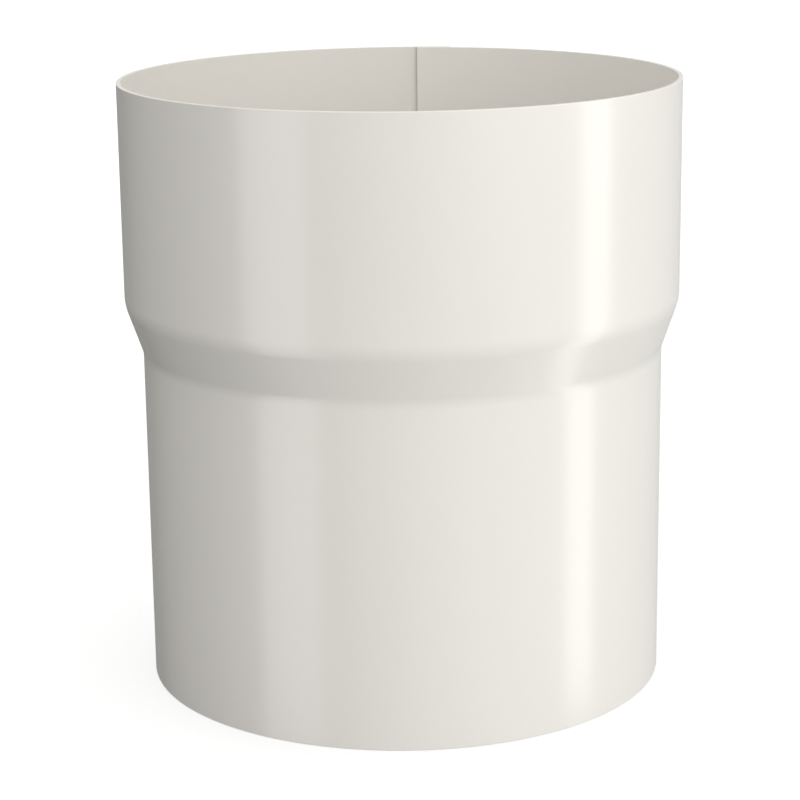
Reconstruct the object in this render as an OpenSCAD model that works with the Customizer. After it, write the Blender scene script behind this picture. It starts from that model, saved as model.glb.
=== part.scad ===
// Connector for round sheet-steel downpipes of the 90 mm system.
// One blank of sheet is rolled round until its ends lap, and the wide socket is pressed out of it
// over a die, which leaves a conical shoulder with a soft bend at its top and at its foot.
// Millimetres, +Z up. The origin is on the tube's axis, in the plane of the spigot's cut edge.
// The lap seam is at the back, on +Y.

/* [Pipes that it joins] */
// Outer diameter of the pipes
pipe_d = 90; // [70:1:120]
// Wall of the pipes
pipe_wall = 0.7; // [0.4:0.1:1.2]

/* [Connector] */
// Height from the spigot's cut edge to the socket's mouth
height = 100; // [80:1:160]
// Height of the socket, from the shoulder's upper corner to the mouth
socket_h = 36.1; // [25:0.1:55]
// Height of the shoulder, from corner to corner
shoulder_h = 8.2; // [6:0.1:16]
// Thickness of the sheet with its paint
sheet_t = 0.7; // [0.4:0.1:1.2]
// Radius of the bend from the shoulder to the socket, on the outer skin
upper_bend_r = 8; // [3:0.5:12]
// Radius of the bend from the spigot to the shoulder, on the outer skin
lower_bend_r = 5.5; // [2:0.5:9]

/* [Fit and seam] */
// Room between the socket and the pipe inside it, all round
socket_gap = 0.3; // [0.1:0.05:1]
// Room between the spigot and the pipe outside it, all round, which the lap takes a part of
spigot_gap = 1.1; // [0.9:0.1:3]
// Width over which the sheet lies double
lap_w = 6; // [3:0.5:15]

/* [Hidden] */
$fn = 240;
// Flats that stand for each bend
bend_steps = 8;
// How far a cut runs past what it cuts
past = 1;
socket_r = pipe_d / 2 + socket_gap + sheet_t;
spigot_r = pipe_d / 2 - pipe_wall - spigot_gap;
upper_corner_z = height - socket_h;
lower_corner_z = upper_corner_z - shoulder_h;
// Lean of the shoulder's wall away from the vertical
lean = atan((socket_r - spigot_r) / shoulder_h);
// The sheet's last stretch is rolled about an axis set off by a little more than one thickness.
// There the wall leaves the tube's round without a corner, and by climb_turn later it has climbed
// one thickness, onto the first end.
climb_shift = 1.2 * sheet_t;
climb_turn = acos(1 - sheet_t / climb_shift);
climb_start = 180;
lap_turn = lap_w / socket_r * 180 / PI;
round_turn = 360 - climb_turn;
// Turns the first end to the back
seam_turn = climb_turn - 90;

// Points of an arc about a centre, from one angle to another
function arc(centre, r, from, to) = [
    for (i = [0 : bend_steps])
        let (a = from + (to - from) * i / bend_steps)
        centre + r * [cos(a), sin(a)]
];

// Outline, from the foot up, of the surface that lies depth inside the tube's outer skin. The bends
// are parallel to the skin's, so that the sheet is equally thick all the way. Every radius is
// larger by grow, and both ends run on by run_on.
function skin(depth, grow, run_on) =
    let (
        corner_rise = depth * tan(lean / 2),
        spigot_x = spigot_r - depth + grow,
        socket_x = socket_r - depth + grow,
        foot_r = lower_bend_r + depth,
        top_r = upper_bend_r - depth,
        foot_bend_z = lower_corner_z + corner_rise - foot_r * tan(lean / 2),
        top_bend_z = upper_corner_z + corner_rise + top_r * tan(lean / 2)
    )
    concat(
        [[spigot_x, -run_on]],
        arc([spigot_x + foot_r, foot_bend_z], foot_r, 180, 180 - lean),
        arc([socket_x - top_r, top_bend_z], top_r, -lean, 0),
        [[socket_x, height + run_on]]
    );

// All that lies inside that surface, over one turn about an axis that is set off along X by grow.
// At climb_start it meets its neighbour that is not set off, face to face and without a corner.
module turned(depth, grow, run_on, start, turn) {
    translate([grow, 0, 0])
        rotate_extrude(start = start, angle = turn)
            polygon(concat(
                [[0, -run_on]],
                skin(depth, grow, run_on),
                [[0, height + run_on]]
            ));
}

// The outer body of the tube less its bore. Both are round about the tube's axis up to the climb.
// From there the bore stops at the sheet's first end, and the body runs on over it by the lap.
module pipe_connector() {
    color("ivory")
    rotate([0, 0, seam_turn])
        difference() {
            union() {
                turned(0, 0, 0, climb_start, round_turn);
                turned(0, climb_shift, 0, climb_start - climb_turn - lap_turn, climb_turn + lap_turn);
            }
            turned(sheet_t, 0, past, climb_start, round_turn);
            turned(sheet_t, climb_shift, past, climb_start - climb_turn, climb_turn);
        }
}

pipe_connector();
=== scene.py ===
# %% [markdown]
# # A painted pipe connector, dressed in Blender
#
# A connector joins two round downpipes: the upper pipe pushes down into the wide socket, and the
# narrow spigot pushes down into the lower pipe. It is made from one blank of sheet steel, rolled
# round until its ends lap, pressed out over a die at the top, and painted a warm off-white.
# The solid model gives the sizes and the place of everything. This lesson makes the same sheet as
# one fine surface, with true bends and cut edges, gives it its paint, and lights it as in a studio.

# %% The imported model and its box
import math

import bpy
import numpy as np
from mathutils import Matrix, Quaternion


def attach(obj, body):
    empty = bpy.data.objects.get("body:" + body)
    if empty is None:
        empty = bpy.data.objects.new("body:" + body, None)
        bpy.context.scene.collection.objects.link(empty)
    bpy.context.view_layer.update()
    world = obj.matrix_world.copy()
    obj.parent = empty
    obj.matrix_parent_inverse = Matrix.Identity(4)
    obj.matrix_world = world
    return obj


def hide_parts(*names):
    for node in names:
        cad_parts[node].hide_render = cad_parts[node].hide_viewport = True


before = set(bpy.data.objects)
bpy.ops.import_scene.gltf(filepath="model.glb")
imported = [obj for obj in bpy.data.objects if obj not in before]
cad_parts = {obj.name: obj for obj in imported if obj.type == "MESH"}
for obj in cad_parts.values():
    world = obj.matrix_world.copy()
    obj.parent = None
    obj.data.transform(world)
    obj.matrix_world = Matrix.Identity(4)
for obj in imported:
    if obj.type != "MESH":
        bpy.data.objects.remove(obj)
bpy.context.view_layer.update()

MM = 0.001


def in_metres(place):
    """A place as plain numbers, rounded to a hundredth of a millimetre."""
    return [round(v, 5) for v in place]


bpy.context.scene.view_settings.view_transform = "Standard"

# %% [markdown]
# ## The camera
#
# The camera comes first, because it decides what will be seen. It stands in front of the part and
# a little to the right, looks down at about fourteen degrees, and is rolled by two thirds of a
# degree, as a camera on a hand-levelled tripod is. A short distance and a lens of about 105 mm give
# the flat ellipse of the rim and the deeper curve of the foot. A turn can be written as three
# angles, but a product of three plain turns says what each one does, so that way was chosen.

# %% Camera
CAMERA_DISTANCE = 0.3833  # from the tube's axis, level
CAMERA_HEIGHT = 0.1435
CAMERA_AZIMUTH = 3.07  # degrees to the right of straight in front
CAMERA_HEADING = 3.15
CAMERA_PITCH = 14.36  # degrees down
CAMERA_ROLL = -0.69
LENS = 105.4
NEAREST_SEEN = 0.01
FARTHEST_SEEN = 50


def around(azimuth, distance, height):
    """A place at a distance from the axis. Azimuth is in degrees, 0 in front, growing to the right."""
    turn = math.radians(azimuth)
    return (distance * math.sin(turn), -distance * math.cos(turn), height)


def turned_about(axis, degrees):
    """A plain turn about one axis."""
    return Quaternion(axis, math.radians(degrees))


def placed(name, data):
    """A new object that shows the data, linked into the scene."""
    made = bpy.data.objects.new(name, data)
    bpy.context.collection.objects.link(made)
    return made


product_lens = bpy.data.cameras.new("product_lens")
product_lens.lens = LENS
product_lens.clip_start = NEAREST_SEEN
product_lens.clip_end = FARTHEST_SEEN
camera = placed("camera", product_lens)
camera.location = around(CAMERA_AZIMUTH, CAMERA_DISTANCE, CAMERA_HEIGHT)
camera.rotation_mode = "QUATERNION"
camera.rotation_quaternion = (
    turned_about((0, 0, 1), CAMERA_HEADING)
    @ turned_about((1, 0, 0), 90 - CAMERA_PITCH)
    @ turned_about((0, 0, 1), CAMERA_ROLL)
)
bpy.context.scene.camera = camera
print("camera at", in_metres(camera.location), "with a lens of", LENS, "mm")

# %% [markdown]
# ## The sheet's sizes
#
# These are the sizes of the solid model, in millimetres, because that is how a sheet worker reads
# them. They are turned to metres only where the mesh is made. The cut edges have one size more: the
# paint rounds them by not quite a tenth of a millimetre, which the solid model leaves out.

# %% Sizes in millimetres
PIPE_D = 90.0
PIPE_WALL = 0.7
HEIGHT = 100.0
SOCKET_H = 36.1
SHOULDER_H = 8.2
SHEET_T = 0.7
UPPER_BEND_R = 8.0
LOWER_BEND_R = 5.5
SOCKET_GAP = 0.3
SPIGOT_GAP = 1.1
LAP_W = 6.0
EDGE_R = 0.08  # how far the paint rounds a cut edge

SOCKET_R = PIPE_D / 2 + SOCKET_GAP + SHEET_T
SPIGOT_R = PIPE_D / 2 - PIPE_WALL - SPIGOT_GAP
LOWER_CORNER_Z = HEIGHT - SOCKET_H - SHOULDER_H
LEAN = math.atan((SOCKET_R - SPIGOT_R) / SHOULDER_H)
print("socket radius", SOCKET_R, "and spigot radius", round(SPIGOT_R, 2))
print("the shoulder leans", round(math.degrees(LEAN), 2), "degrees")

# %% [markdown]
# ## The line up the wall
#
# A designer could draw the wall as two outlines and fill between them. Here it is one middle line
# with a direction square to it at each point, because a sheet is the same thickness everywhere: both
# faces then follow by going half a thickness to either side. The line is straight up the spigot,
# bends out over the foot of the shoulder, climbs the cone, bends back, and is straight up the socket.

# %% Middle line of the wall
HALF_T = SHEET_T / 2
LEVEL = np.array([1.0, 0.0])
SPIGOT_POINTS = 12
FOOT_BEND_POINTS = 15
CONE_POINTS = 6
TOP_BEND_POINTS = 17
SOCKET_POINTS = 8


def straight(start, end, count):
    """Evenly spaced points: the start plus a growing share of the way to the end."""
    return start + (end - start) * np.linspace(0, 1, count)[:, None]


def bend(centre, radius, from_angle, to_angle, count):
    """An arc and its directions: the centre plus the radius times (cosine, sine) of the angle."""
    angle = np.linspace(from_angle, to_angle, count)
    ray = np.stack([np.cos(angle), np.sin(angle)], 1)
    return centre + radius * ray, ray


def middle_line():
    """Points (radius, height) up the middle of the wall, and the outward direction square to it.

    The foot's arc has its centre outside the tube, so its rays point inwards and are turned round.
    The upper arc has its centre inside. Between the arcs' ends the line is straight.
    """
    rise = HALF_T * math.tan(LEAN / 2)
    foot_r = LOWER_BEND_R + HALF_T
    top_r = UPPER_BEND_R - HALF_T
    spigot_x = SPIGOT_R - HALF_T
    socket_x = SOCKET_R - HALF_T
    foot_z = LOWER_CORNER_Z + rise - foot_r * math.tan(LEAN / 2)
    top_z = LOWER_CORNER_Z + SHOULDER_H + rise + top_r * math.tan(LEAN / 2)
    foot_centre = np.array([spigot_x + foot_r, foot_z])
    top_centre = np.array([socket_x - top_r, top_z])
    foot, foot_ray = bend(foot_centre, foot_r, math.pi, math.pi - LEAN, FOOT_BEND_POINTS)
    top, top_ray = bend(top_centre, top_r, -LEAN, 0, TOP_BEND_POINTS)
    start = np.array([spigot_x, EDGE_R])
    end = np.array([socket_x, HEIGHT - EDGE_R])
    runs = [
        (straight(start, foot[0], SPIGOT_POINTS)[:-1], LEVEL),
        (foot, -foot_ray),
        (straight(foot[-1], top[0], CONE_POINTS)[1:-1], top_ray[0]),
        (top, top_ray),
        (straight(top[-1], end, SOCKET_POINTS)[1:], LEVEL),
    ]
    line = np.concatenate([places for places, _ in runs])
    outward = np.concatenate([np.broadcast_to(square, places.shape) for places, square in runs])
    return line, outward


line, outward = middle_line()
steps = np.linalg.norm(np.diff(line, axis=0), axis=1)
climbed = np.concatenate([[0.0], np.cumsum(steps)]) + EDGE_R
wall_length = climbed[-1] + EDGE_R
print(len(line), "points up the wall, which is", round(wall_length, 2), "mm long")

# %% [markdown]
# ## The sheet's section
#
# Going up the outer face, over the cut edge at the rim, down the inner face and round the cut edge
# at the foot gives one closed loop. Each cut edge is a flat strip between two small quarter rounds.
# The loop can also be drawn in by a little on every side, which is how the two upright cut edges of
# the lap get the same rounding. Beside each point the loop carries the direction that it faces, so
# that the shading is exact and the long plain faces don't look bent next to a round.

# %% Closed section loop
ROUND_STEPS = 4


def cut_edge(middle_r, from_z, upward, draw_in):
    """Points and directions over a cut edge, from the outer face to the inner one.

    Each corner is a quarter circle: the distance from the sheet's middle is the half thickness less
    the rounding, plus the rounding times the cosine of an angle, and the height goes by its sine.
    The second corner is the first one's mirror image.
    """
    angle = np.linspace(0, math.pi / 2, ROUND_STEPS + 1)[1:]
    side = np.concatenate([np.ones(ROUND_STEPS), -np.ones(ROUND_STEPS)])
    angle = np.concatenate([angle, angle[::-1]])
    faced = np.stack([side * np.cos(angle), upward * np.sin(angle)], 1)
    corner = np.stack([middle_r + side * (HALF_T - EDGE_R), np.full(2 * ROUND_STEPS, from_z)], 1)
    return corner + (EDGE_R - draw_in) * faced, faced


def section(draw_in):
    """The closed loop of the sheet's section and its directions, drawn in by draw_in millimetres."""
    half = HALF_T - draw_in
    rim, rim_faced = cut_edge(SOCKET_R - HALF_T, HEIGHT - EDGE_R, 1, draw_in)
    foot, foot_faced = cut_edge(SPIGOT_R - HALF_T, EDGE_R, -1, draw_in)
    loop = np.concatenate([line + outward * half, rim, (line - outward * half)[::-1], foot[::-1]])
    faced = np.concatenate([outward, rim_faced, -outward[::-1], foot_faced[::-1]])
    return loop, faced


loop, faced = section(0.0)
LOOP_POINTS = len(loop)
print(LOOP_POINTS, "points round the section")

# %% [markdown]
# ## Rolling the sheet
#
# Rolled sheet doesn't close into a circle. It starts at an inner end, goes most of the way round as
# a true circle, and over the last part of the turn it climbs by one thickness, so that it can pass
# over its own start and lap it. Two circles give that climb: the second has its centre moved a
# little to one side and its radius larger by the same amount, so that it leaves the first one
# without a kink. A spiral would do it too, but a bending roll makes arcs.

# %% Plan of the rolled sheet
SHIFT_SHARE = 1.2  # of the sheet's thickness; a larger share makes the climb shorter
CLIMB_SHIFT = SHIFT_SHARE * SHEET_T
CLIMB_TURN = math.acos(1 - SHEET_T / CLIMB_SHIFT)
CLIMB_FROM = math.pi / 2 + CLIMB_TURN - 2 * math.pi  # polar angles fall, clockwise from above
CLIMB_CENTRE = -CLIMB_SHIFT * np.array([math.cos(CLIMB_FROM), math.sin(CLIMB_FROM)])
FIRST_END = math.pi / 2 - math.asin(CLIMB_CENTRE[0] / SOCKET_R)
LAST_END = -3 * math.pi / 2 - LAP_W / SOCKET_R
COLUMNS = 480
LAST_ROUND = math.radians(85)  # just short of a quarter turn, so that no corner shrinks to a point


def plan():
    """For each column its polar angle, how far it draws in, and how far it faces the cut end.

    The middle columns are evenly spaced. At each end a few more follow a quarter circle: the way
    left to the end is the rounding times one less the sine, and the faces draw in by the rounding
    times one less the cosine.
    """
    quarter = np.linspace(0, LAST_ROUND, ROUND_STEPS + 1)
    left = EDGE_R * (1 - np.sin(quarter)) / SOCKET_R
    drawn = EDGE_R * (1 - np.cos(quarter))
    middle = np.linspace(FIRST_END - left[0], LAST_END + left[0], COLUMNS)[1:-1]
    angles = np.concatenate([(FIRST_END - left)[::-1], middle, LAST_END + left])
    draw_in = np.concatenate([drawn[::-1], np.zeros(len(middle)), drawn])
    endward = np.concatenate([-quarter[::-1], np.zeros(len(middle)), quarter])
    return angles, draw_in, endward


def rolled(angles, loops, faced, endward):
    """The sheet's surface and its directions, one row for each column.

    A point is the centre plus its radius times (cosine, sine), at its height. Before the climb the
    centre is the tube's axis; after it the centre is moved aside and the radius is larger by the
    same amount. A direction is the section's own, turned towards the cut end by the angle endward.
    """
    climbing = angles < CLIMB_FROM
    centre = np.where(climbing[:, None], CLIMB_CENTRE, 0.0)
    radius = loops[:, :, 0] + np.where(climbing, CLIMB_SHIFT, 0.0)[:, None]
    cos, sin = np.cos(angles)[:, None], np.sin(angles)[:, None]
    place = np.stack([centre[:, :1] + radius * cos, centre[:, 1:] + radius * sin, loops[:, :, 1]], 2)
    keep = np.cos(endward)[:, None]
    turn = np.sin(endward)[:, None]
    facing = np.stack([
        faced[:, 0] * cos * keep + sin * turn,
        faced[:, 0] * sin * keep - cos * turn,
        faced[:, 1] * keep,
    ], 2)
    return place, facing


angles, draw_in, endward = plan()
loops = np.stack([section(d)[0] for d in draw_in])
place, facing = rolled(angles, loops, faced, endward)
print("the sheet is", len(angles), "columns by", LOOP_POINTS, "points")
turned = math.degrees(FIRST_END - LAST_END)
print("it turns by", round(turned, 1), "degrees and laps itself by", LAP_W, "mm")

# %% [markdown]
# ## The mesh
#
# The grid becomes faces by joining each point to its neighbours in the next column and in the loop.
# The loop closes on itself. Each of the two cut ends is closed by a strip of faces between the outer
# and the inner points at the same height, so that nothing is left open. A modifier could thicken a
# plain surface instead, but then the rounded edges couldn't be placed as exactly.

# %% Faces of the sheet
FACE_CORNERS = 4


def grid_faces(columns):
    """Four-cornered faces between neighbouring columns, round the closed loop, facing outwards."""
    c, p = np.meshgrid(np.arange(columns - 1), np.arange(LOOP_POINTS), indexing="ij")
    q = (p + 1) % LOOP_POINTS
    here, there = c * LOOP_POINTS, (c + 1) * LOOP_POINTS
    return np.stack([here + p, here + q, there + q, there + p], -1).reshape(-1, FACE_CORNERS)


def end_faces(column):
    """Faces over a cut end. The pairs start at the middle of the foot's edge and go up the wall, and
    the point opposite number i counts back from there by as much."""
    i = np.arange(LOOP_POINTS // 2)
    outer = (i - ROUND_STEPS) % LOOP_POINTS
    inner = (LOOP_POINTS - 1 - ROUND_STEPS - i) % LOOP_POINTS
    start = column * LOOP_POINTS
    return start + np.stack([outer[:-1], outer[1:], inner[1:], inner[:-1]], -1)


faces = np.concatenate([
    grid_faces(len(angles)),
    end_faces(0)[:, ::-1],
    end_faces(len(angles) - 1),
])
print("the sheet has", len(faces), "faces")

# %% [markdown]
# ## From arrays to a piece
#
# Blender takes whole arrays through foreach_set, which is much quicker than adding points one by
# one. The mesh also gets the directions that were worked out above, and a UV map in metres along
# and up the sheet. With it the paint can follow the sheet as if it still lay flat. The volume inside
# the faces is a good test: it is right only if the mesh is closed and every face points outwards.

# %% The sheet as a piece
MM3_PER_CM3 = 1000


def make_mesh(name, places, faces, directions, uv):
    """A mesh of four-cornered faces from whole arrays, smooth, with its directions and its UV map."""
    mesh = bpy.data.meshes.new(name)
    mesh.vertices.add(len(places))
    mesh.vertices.foreach_set("co", places.astype(np.float32).ravel())
    mesh.loops.add(faces.size)
    mesh.loops.foreach_set("vertex_index", faces.astype(np.int32).ravel())
    mesh.polygons.add(len(faces))
    mesh.polygons.foreach_set("loop_start", np.arange(0, faces.size, FACE_CORNERS, dtype=np.int32))
    mesh.update(calc_edges=True)
    mesh.shade_smooth()
    uv_at_corners = uv[faces.ravel()].astype(np.float32)
    mesh.uv_layers.new(name="sheet").data.foreach_set("uv", uv_at_corners.ravel())
    mesh.normals_split_custom_set_from_vertices(directions.astype(np.float32))
    return mesh


def mark_points(mesh, name, values):
    """Keeps one number for each point of a mesh, under a name that a material can read."""
    marks = mesh.attributes.new(name, "FLOAT", "POINT")
    marks.data.foreach_set("value", values.astype(np.float32))


def closed_volume(places, faces):
    """Volume inside closed faces: a sixth of the sum of the corner products of their triangles."""
    a, b, c, d = (places[faces[:, k]] for k in range(FACE_CORNERS))
    first = np.einsum("ij,ij", a, np.cross(b, c))
    second = np.einsum("ij,ij", a, np.cross(c, d))
    return float((first + second) / 6)


over_rim = np.full(2 * ROUND_STEPS, wall_length)
under_foot = np.zeros(2 * ROUND_STEPS)
up_wall = np.concatenate([climbed, over_rim, climbed[::-1], under_foot])
faced_inwards = (faced[:, 0] < 0).astype(float)
along = (FIRST_END - angles) * SOCKET_R
uv = np.stack(np.broadcast_arrays(along[:, None], up_wall[None, :]), -1).reshape(-1, 2) * MM
sheet_mesh = make_mesh("rolled_sheet", place.reshape(-1, 3) * MM, faces, facing.reshape(-1, 3), uv)
mark_points(sheet_mesh, "inner_face", np.tile(faced_inwards, len(angles)))
sheet = placed("rolled_sheet", sheet_mesh)
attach(sheet, "root")
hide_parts("pipe_connector")
volume = closed_volume(place.reshape(-1, 3), faces) / MM3_PER_CM3
print("the sheet holds", round(volume, 3), "cubic centimetres in", len(sheet_mesh.vertices), "points")

# %% [markdown]
# ## Writing shader maths as expressions
#
# A material is a graph of small nodes. Drawn by hand, a sum of three noises is a screenful of boxes.
# In code it can be one line, if a node's output behaves as a number. The class below does that:
# it keeps a socket, and +, - and * on it add a Math node and give back its output.

# %% Shader numbers
class Shade:
    """A number that comes out of a shader node, so that it can stand in an expression."""

    def __init__(self, recipe, socket):
        self.recipe = recipe
        self.socket = socket

    def _join(self, operation, first, second):
        sockets = {0: first, 1: second}
        return self.recipe.add("ShaderNodeMath", {"operation": operation}, sockets)["Value"]

    def __add__(self, other):
        return self._join("ADD", self, other)

    def __sub__(self, other):
        return self._join("SUBTRACT", self, other)

    def __rsub__(self, other):
        return self._join("SUBTRACT", other, self)

    def __mul__(self, other):
        return self._join("MULTIPLY", self, other)

    __radd__ = __add__
    __rmul__ = __mul__

    def least(self, other):
        """The smaller of two numbers."""
        return self._join("MINIMUM", self, other)

    def most(self, other):
        """The larger of two numbers."""
        return self._join("MAXIMUM", self, other)


print("shader numbers are ready")

# %% [markdown]
# ## A recipe of nodes
#
# Every other kind of node is made by one method, which takes its kind, its settings and its sockets.
# Each node could be made and linked in lines of its own, but then a material would be three times as
# long, and a link is easily forgotten. Here a material reads from top to bottom, as a recipe does.

# %% Recipes
class Recipe:
    """A tree of shader nodes that is written from top to bottom."""

    def __init__(self, owner):
        owner.use_nodes = True
        self.tree = owner.node_tree
        self.tree.nodes.clear()

    def add(self, kind, settings=None, sockets=None):
        """Adds a node. Its settings are set first, then each socket gets a value or a link."""
        node = self.tree.nodes.new(kind)
        for name, value in (settings or {}).items():
            setattr(node, name, value)
        for name, value in (sockets or {}).items():
            if isinstance(value, Shade):
                self.tree.links.new(value.socket, node.inputs[name])
            else:
                node.inputs[name].default_value = value
        return Outputs(self, node)


class Outputs:
    """A node's outputs by name."""

    def __init__(self, recipe, node):
        self.recipe = recipe
        self.node = node

    def __getitem__(self, name):
        return Shade(self.recipe, self.node.outputs[name])


print("recipes are ready")

# %% [markdown]
# ## Where the paint changes
#
# Paint isn't the same all over such a piece. It gathers on the cut edges, which are also drawn a touch
# paler there: a painted highlight for the light on the rim's flat top. It is rubbed over the two
# bends, where the die pressed the shoulder out. And in the two corners of the lap, where a cut end
# stands on the wall, painted shade draws the seam as a dark line. These places could be painted by
# hand on a picture, but the way along the sheet and up it is known exactly, so each one is a mask
# worked out
# from that: a number from 0 to 1. A mark on the points tells the inner face from the outer one.

# %% Masks
EDGE_FADE = 0.0002
CORNER_WIDTH = 0.0007
RUB_BEFORE = 0.001  # the rubbing starts this far outside the bends
RUB_AFTER = 0.0015  # and is full this far inside them
SHOULDER_FROM = climbed[SPIGOT_POINTS - 1] * MM
SHOULDER_TO = climbed[-SOCKET_POINTS] * MM

paint = bpy.data.materials.new("satin_off_white")
mix = Recipe(paint)
sheet_uv = mix.add("ShaderNodeUVMap", {"uv_map": "sheet"})["UV"]
apart = mix.add("ShaderNodeSeparateXYZ", None, {"Vector": sheet_uv})
along_sheet, up_sheet = apart["X"], apart["Y"]
inside = mix.add("ShaderNodeAttribute", {"attribute_name": "inner_face"})["Fac"]


def fade(recipe, value, from_value, to_value, ends="SMOOTHSTEP"):
    """0 at from_value and 1 at to_value, with soft ends, or with sharp ones if they are LINEAR."""
    sockets = {"Value": value, "From Min": from_value, "From Max": to_value}
    return recipe.add("ShaderNodeMapRange", {"interpolation_type": ends}, sockets)["Result"]


sheet_length = float(along[-1]) * MM
first_end_over = (FIRST_END + 3 * math.pi / 2) * SOCKET_R * MM  # where the last layer meets it
last_end_over = sheet_length - first_end_over
to_foot_or_rim = up_sheet.least(wall_length * MM - up_sheet)
to_an_end = along_sheet.least(sheet_length - along_sheet)
cut = fade(mix, to_foot_or_rim.least(to_an_end), EDGE_FADE, 0.0)
# painted shade: a dark line in each corner of the lap, on the inner face by the first end and on the
# outer face by the last
inner_corner = fade(mix, along_sheet, first_end_over - CORNER_WIDTH, first_end_over) * inside
outer_corner = fade(mix, along_sheet, last_end_over + CORNER_WIDTH, last_end_over) * (1 - inside)
lap_shade = inner_corner + outer_corner
over_foot_bend = fade(mix, up_sheet, SHOULDER_FROM - RUB_BEFORE, SHOULDER_FROM + RUB_AFTER)
under_top_bend = fade(mix, up_sheet, SHOULDER_TO + RUB_BEFORE, SHOULDER_TO - RUB_AFTER)
pressed = over_foot_bend * under_top_bend
print("the lower bend starts", round(SHOULDER_FROM / MM, 1), "mm up the sheet")
print("and the upper one ends", round(SHOULDER_TO / MM, 1), "mm up")

# %% [markdown]
# ## The paint
#
# Such fittings are made from steel that is painted on the coil or powder coated afterwards. The film
# is a warm off-white with a satin gloss: dull enough that a lamp's edge blurs, smooth enough that
# a tall lamp shows as one bright streak. Close to, the film has a fine orange peel, its gloss varies
# a little, the cut edges are duller and carry a painted highlight that makes them a touch paler, the
# corners of the lap carry painted shade, and the rubbing marks run upright. One Principled shader can
# do all of it: the patterns only change its colour, its roughness and its normal by a little.

# %% Paint
PAINT_COLOUR = (0.82, 0.795, 0.742, 1)
# painted highlight: the cut edges are drawn this much paler, for the light on the rim's flat top
EDGE_PAINTED_HIGHLIGHT = (0.84, 0.815, 0.76, 1)
PAINT_ROUGHNESS = 0.22
PAINT_IOR = 1.6
PEEL_SIZE = 0.0011  # metres from one bump of the orange peel to the next
CLOUD_SIZE = 0.03
RUB_WIDTH = 0.0006
RUB_STRETCH = 0.06  # the width of a mark as a share of its length
RUB_MIDDLE = 0.45  # the noise's usual value
CLOUD_TONE = 0.02
PEEL_TONE = 0.01
# how much the painted shade darkens the corners of the lap
LAP_CORNER_PAINTED_SHADE = 0.22
CLOUD_ROUGHER = 0.05
PEEL_ROUGHER = 0.05
RUB_ROUGHER = 0.12
EDGE_ROUGHER = 0.12
RUB_DEPTH = 0.5  # of the orange peel's
PEEL_STRENGTH = 0.25
PEEL_DEPTH = 0.00002
MIX_SHARE, MIX_FIRST, MIX_SECOND, MIX_RESULT = 0, 6, 7, 2  # the colour sockets of a Mix node


def clouds(size, detail, vector):
    """Soft noise from 0 to 1, with patches about as large as size."""
    sockets = {"Vector": vector, "Scale": 1 / size, "Detail": detail}
    return mix.add("ShaderNodeTexNoise", None, sockets)["Fac"]


def blend(recipe, share, first, second, way="MIX"):
    """A colour between two colours, or the first one multiplied by the second."""
    settings = {"data_type": "RGBA", "blend_type": way}
    sockets = {MIX_SHARE: share, MIX_FIRST: first, MIX_SECOND: second}
    return recipe.add("ShaderNodeMix", settings, sockets)[MIX_RESULT]


def grey(recipe, level):
    """A colour whose red, green and blue are the same number."""
    sockets = {"Red": level, "Green": level, "Blue": level}
    return recipe.add("ShaderNodeCombineColor", None, sockets)["Color"]


spot = mix.add("ShaderNodeTexCoord")["Object"]
upright = {"X": along_sheet, "Y": up_sheet * RUB_STRETCH}
stretched = mix.add("ShaderNodeCombineXYZ", None, upright)["Vector"]
rubbing = clouds(RUB_WIDTH, 3, stretched)
peel = clouds(PEEL_SIZE, 2, spot)
cloud = clouds(CLOUD_SIZE, 3, spot)

# the cut edges get their painted highlight here
tone = blend(mix, cut, PAINT_COLOUR, EDGE_PAINTED_HIGHLIGHT)
drift = CLOUD_TONE * (cloud - 0.5) + PEEL_TONE * (peel - 0.5)
# random tone, less the painted shade in the lap's corners
colour = blend(mix, 1.0, tone, grey(mix, 1 + drift - LAP_CORNER_PAINTED_SHADE * lap_shade), "MULTIPLY")
uneven = CLOUD_ROUGHER * (cloud - 0.5) + PEEL_ROUGHER * (peel - 0.5)
worn = pressed * (rubbing - RUB_MIDDLE) * RUB_ROUGHER
roughness = PAINT_ROUGHNESS + uneven + worn + cut * EDGE_ROUGHER
film = peel + pressed * rubbing * RUB_DEPTH
bumps = {"Strength": PEEL_STRENGTH, "Distance": PEEL_DEPTH, "Height": film}
surface = mix.add("ShaderNodeBsdfPrincipled", None, {
    "Base Color": colour,
    "Roughness": roughness,
    "Normal": mix.add("ShaderNodeBump", None, bumps)["Normal"],
    "IOR": PAINT_IOR,
})
mix.add("ShaderNodeOutputMaterial", None, {"Surface": surface["BSDF"]})
sheet_mesh.materials.append(paint)
print("paint made of", len(mix.tree.nodes), "nodes")

# %% [markdown]
# ## The floor
#
# A product picture has a white ground with only a soft shadow at the foot. Making the ground white
# with more light would wash out the part's own pale paint. Light Path offers a better way: to the
# camera the floor adds a glow to what its surface shows, so that it is white where the light falls
# freely and still dims a little beside the foot. Far out, where the light on the floor falls off,
# the glow is a little stronger. To the rays that carry light the floor is a plain grey, so that
# little light comes up from below, and the shoulder's underside stays darker than the walls. Only
# the round of floor inside the tube is pale to them, because it lights the inner wall.

# %% Floor
FLOOR_SIZE = 12.0
FLOOR_POINTS = 9
FLOOR_HEIGHT = -0.00005  # just under the foot, so that the two don't touch
FLOOR_COLOUR = (0.335, 0.335, 0.33, 1)
FLOOR_INSIDE_COLOUR = (0.78, 0.78, 0.77, 1)
FLOOR_SEEN_COLOUR = (0.42, 0.42, 0.42, 1)
GLOW_NEAR = 0.62
GLOW_FAR = 0.75
GLOW_GROWS_FROM = 0.15  # metres from the axis
GLOW_GROWS_TO = 0.8


def seen_ray(recipe):
    """1 for rays from the camera and for those that show the ground in something shiny or clear."""
    path = recipe.add("ShaderNodeLightPath")
    return path["Is Camera Ray"].most(path["Is Glossy Ray"]).most(path["Is Transmission Ray"])


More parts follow.
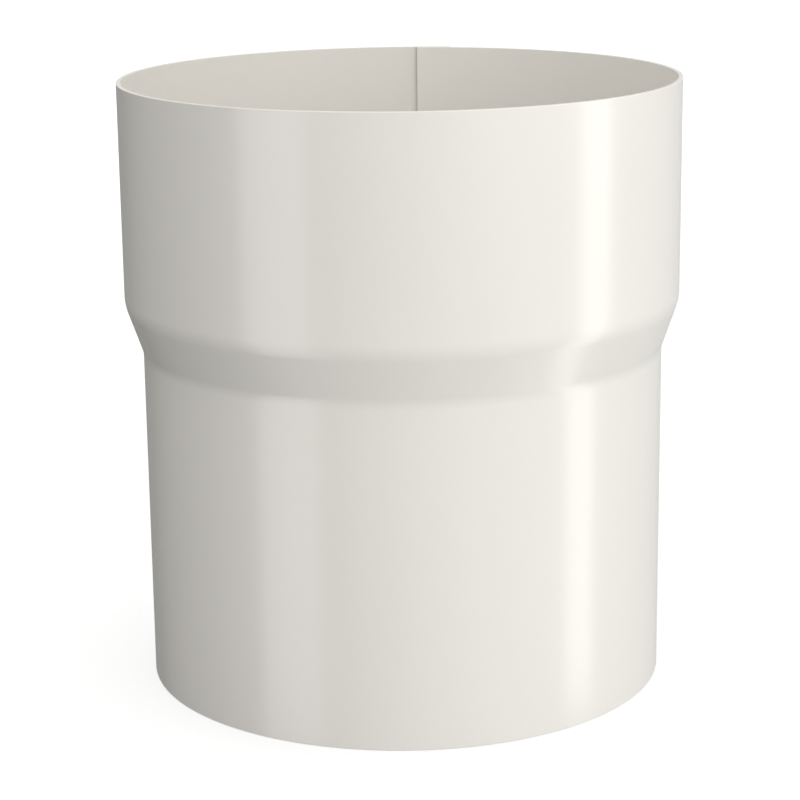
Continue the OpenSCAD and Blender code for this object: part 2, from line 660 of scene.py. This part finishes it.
def open_grid(rows, columns):
    """Four-cornered faces that join the points of an open grid, which are counted row by row."""
    i, j = np.meshgrid(np.arange(rows - 1), np.arange(columns - 1), indexing="ij")
    here = i * columns + j
    there = here + columns
    return np.stack([here, here + 1, there + 1, there], -1).reshape(-1, FACE_CORNERS)


def flat_sheet(name, width, depth, height):
    """A level sheet as a grid of two shares, from minus a half to a half of its width and depth."""
    share = np.linspace(-0.5, 0.5, FLOOR_POINTS)
    u, v = np.meshgrid(share, share, indexing="ij")
    places = np.stack([u * width, v * depth, np.full_like(u, height)], 2).reshape(-1, 3)
    facing_up = open_grid(FLOOR_POINTS, FLOOR_POINTS)[:, [0, 3, 2, 1]]
    up = np.tile([0.0, 0.0, 1.0], (len(places), 1))
    made = placed(name, make_mesh(name, places, facing_up, up, places[:, :2]))
    return made


floor = flat_sheet("floor", FLOOR_SIZE, FLOOR_SIZE, FLOOR_HEIGHT)
floor_paint = bpy.data.materials.new("white_ground")
ground = Recipe(floor_paint)
floor_spot = ground.add("ShaderNodeTexCoord")["Object"]
from_axis = ground.add("ShaderNodeVectorMath", {"operation": "LENGTH"}, {0: floor_spot})["Value"]
outside_tube = fade(ground, from_axis, (SPIGOT_R - SHEET_T) * MM, SPIGOT_R * MM, "LINEAR")
bounced = blend(ground, outside_tube, FLOOR_INSIDE_COLOUR, FLOOR_COLOUR)
for_light = ground.add("ShaderNodeBsdfDiffuse", None, {"Color": bounced})["BSDF"]
lit = ground.add("ShaderNodeBsdfDiffuse", None, {"Color": FLOOR_SEEN_COLOUR})["BSDF"]
far_away = fade(ground, from_axis, GLOW_GROWS_FROM, GLOW_GROWS_TO)
glow_colour = grey(ground, GLOW_NEAR + (GLOW_FAR - GLOW_NEAR) * far_away)
glow = ground.add("ShaderNodeEmission", None, {"Color": glow_colour, "Strength": 1.0})["Emission"]
for_camera = ground.add("ShaderNodeAddShader", None, {0: lit, 1: glow})["Shader"]
sides = {0: seen_ray(ground), 1: for_light, 2: for_camera}
top_side = ground.add("ShaderNodeMixShader", None, sides)["Shader"]
from_below = ground.add("ShaderNodeBsdfTransparent")["BSDF"]
below = ground.add("ShaderNodeNewGeometry")["Backfacing"]
both_sides = ground.add("ShaderNodeMixShader", None, {0: below, 1: top_side, 2: from_below})["Shader"]
ground.add("ShaderNodeOutputMaterial", None, {"Surface": both_sides})
floor.data.materials.append(floor_paint)
floor.visible_glossy = False
print("the floor is", FLOOR_SIZE, "metres wide, of", len(floor.data.polygons), "faces")

# %% [markdown]
# ## The white round the part
#
# A studio's walls are far off and pale. They could be built as a room, but the world does the same
# with nothing to place: it shows as pure white, and lights the part softly from all round at a
# lower strength of its own, so that the white stays white whatever light the part needs.

# %% World
WHITE = (1, 1, 1, 1)
WORLD_LIGHT = 0.68

world = bpy.data.worlds.new("white_studio")
bpy.context.scene.world = world
sky = Recipe(world)
seen = sky.add("ShaderNodeBackground", None, {"Color": WHITE, "Strength": 1.0})["Background"]
soft = sky.add("ShaderNodeBackground", None, {"Color": WHITE, "Strength": WORLD_LIGHT})["Background"]
all_round = sky.add("ShaderNodeMixShader", None, {0: seen_ray(sky), 1: soft, 2: seen})["Shader"]
sky.add("ShaderNodeOutputWorld", None, {"Surface": all_round})
print("soft light comes from all round at a strength of", WORLD_LIGHT)

# %% [markdown]
# ## Screens and cards
#
# A tube shows its lighting as upright bands, and two kinds of card make them. Screens light the part
# but don't show in its gloss: a low and a high one at the front right give the slow change from dark
# left to bright right, and one behind keeps the back from going dull. Cards do the opposite, because
# a card that lit the part too would move every other tone. A narrow strip shows in the satin film as
# the bright streak, a wider, weaker one as the faint step on the left, and a strip deep below the
# floor as the highlight on the shoulder, which faces down. The first two stand close to the part, so
# that from behind they slip to its very edge. Grey and dark cards close the ring behind them, or the
# tube would mirror the white round it and its edges would fade into the page. A card above them does
# the same for the rim's flat top.

# %% Screens and cards
CARD_ROWS = 33
CARD_COLUMNS = 5
CARD_TOP = 0.6
FAR_BELOW = -3.0


def card(name, from_azimuth, to_azimuth, distance, low, high, glow, only_gloss):
    """An upright card bent round the part. It faces inwards.

    A point is the distance times (sine, minus cosine) of the azimuth, at a height from low to high.
    Azimuths are counted from the camera's own. With only_gloss it shows in gloss and lights nothing,
    and without it the other way round.
    """
    turn = np.radians(np.linspace(from_azimuth, to_azimuth, CARD_ROWS) + CAMERA_AZIMUTH)
    t, z = np.meshgrid(turn, np.linspace(low, high, CARD_COLUMNS), indexing="ij")
    places = np.stack([distance * np.sin(t), -distance * np.cos(t), z], 2).reshape(-1, 3)
    inwards = np.stack([-np.sin(t), np.cos(t), np.zeros_like(z)], 2).reshape(-1, 3)
    quads = open_grid(CARD_ROWS, CARD_COLUMNS)
    made = placed(name, make_mesh(name, places, quads, inwards, places[:, :2]))
    cloth = bpy.data.materials.new(name)
    recipe = Recipe(cloth)
    flat = recipe.add("ShaderNodeEmission", None, {"Color": WHITE, "Strength": glow})["Emission"]
    recipe.add("ShaderNodeOutputMaterial", None, {"Surface": flat})
    made.data.materials.append(cloth)
    made.visible_camera = False
    made.visible_diffuse = not only_gloss
    made.visible_shadow = not only_gloss
    made.visible_transmission = False
    made.visible_glossy = only_gloss
    if only_gloss:
        cloth.cycles.emission_sampling = "NONE"
    return made


# For each: azimuth from and to, distance, height from and to, strength, and only_gloss.
cards = [
    card("low_screen", 20, 85, 1.0, 0.0, 0.1, 8.9, False),
    card("high_screen", -15, 85, 1.0, 0.2, CARD_TOP, 2.2, False),
    card("back_screen", 140, 220, 1.0, 0.2, CARD_TOP, 1.8, False),
    card("front_card", -62.5, 83, 0.51, FAR_BELOW, CARD_TOP, 0.5, True),
    card("bright_strip", 61.8, 75.3, 0.12, -0.03, 0.13, 2.9, True),
    card("low_strip", 61, 80, 0.5, -1.2, -0.45, 3.2, True),
    card("pale_card", -57.7, -32.85, 0.18, -0.06, 0.13, 1.85, True),
    card("grey_card_left", -84, -62, 0.525, FAR_BELOW, CARD_TOP, 0.12, True),
    card("dark_card_left", -148, -83.5, 0.53, FAR_BELOW, 0.12, 0.02, True),
    card("edge_card_left", -180, -148, 0.53, FAR_BELOW, 0.12, 0.16, True),
    card("rim_card", 82, 276.5, 0.53, 0.12, CARD_TOP, 0.4, True),
    card("dark_card_right", 82, 180, 0.53, FAR_BELOW, 0.12, 0.58, True),
]
print("placed", len(cards), "screens and cards")

# %% [markdown]
# ## The lamp above
#
# A real studio has one more light, a large soft box over the table. It brightens the rim and the
# inner wall, which no upright screen reaches. A sun lamp could do it too, but its hard light would
# draw the rim's shadow down the inner wall, so this is a wide square lamp well above the part.

# %% Top lamp
TOP_LAMP_SIZE = 1.4
TOP_LAMP_POWER = 7.2
TOP_LAMP_PLACE = (-0.1, 0, 1.5)

top_light = bpy.data.lights.new("top_lamp", "AREA")
top_light.shape = "SQUARE"
top_light.size = TOP_LAMP_SIZE
top_light.energy = TOP_LAMP_POWER
top_lamp = placed("top_lamp", top_light)
top_lamp.location = TOP_LAMP_PLACE
top_lamp.visible_camera = False
print("the top lamp is", TOP_LAMP_SIZE, "metres wide and hangs", TOP_LAMP_PLACE[2], "metres up")
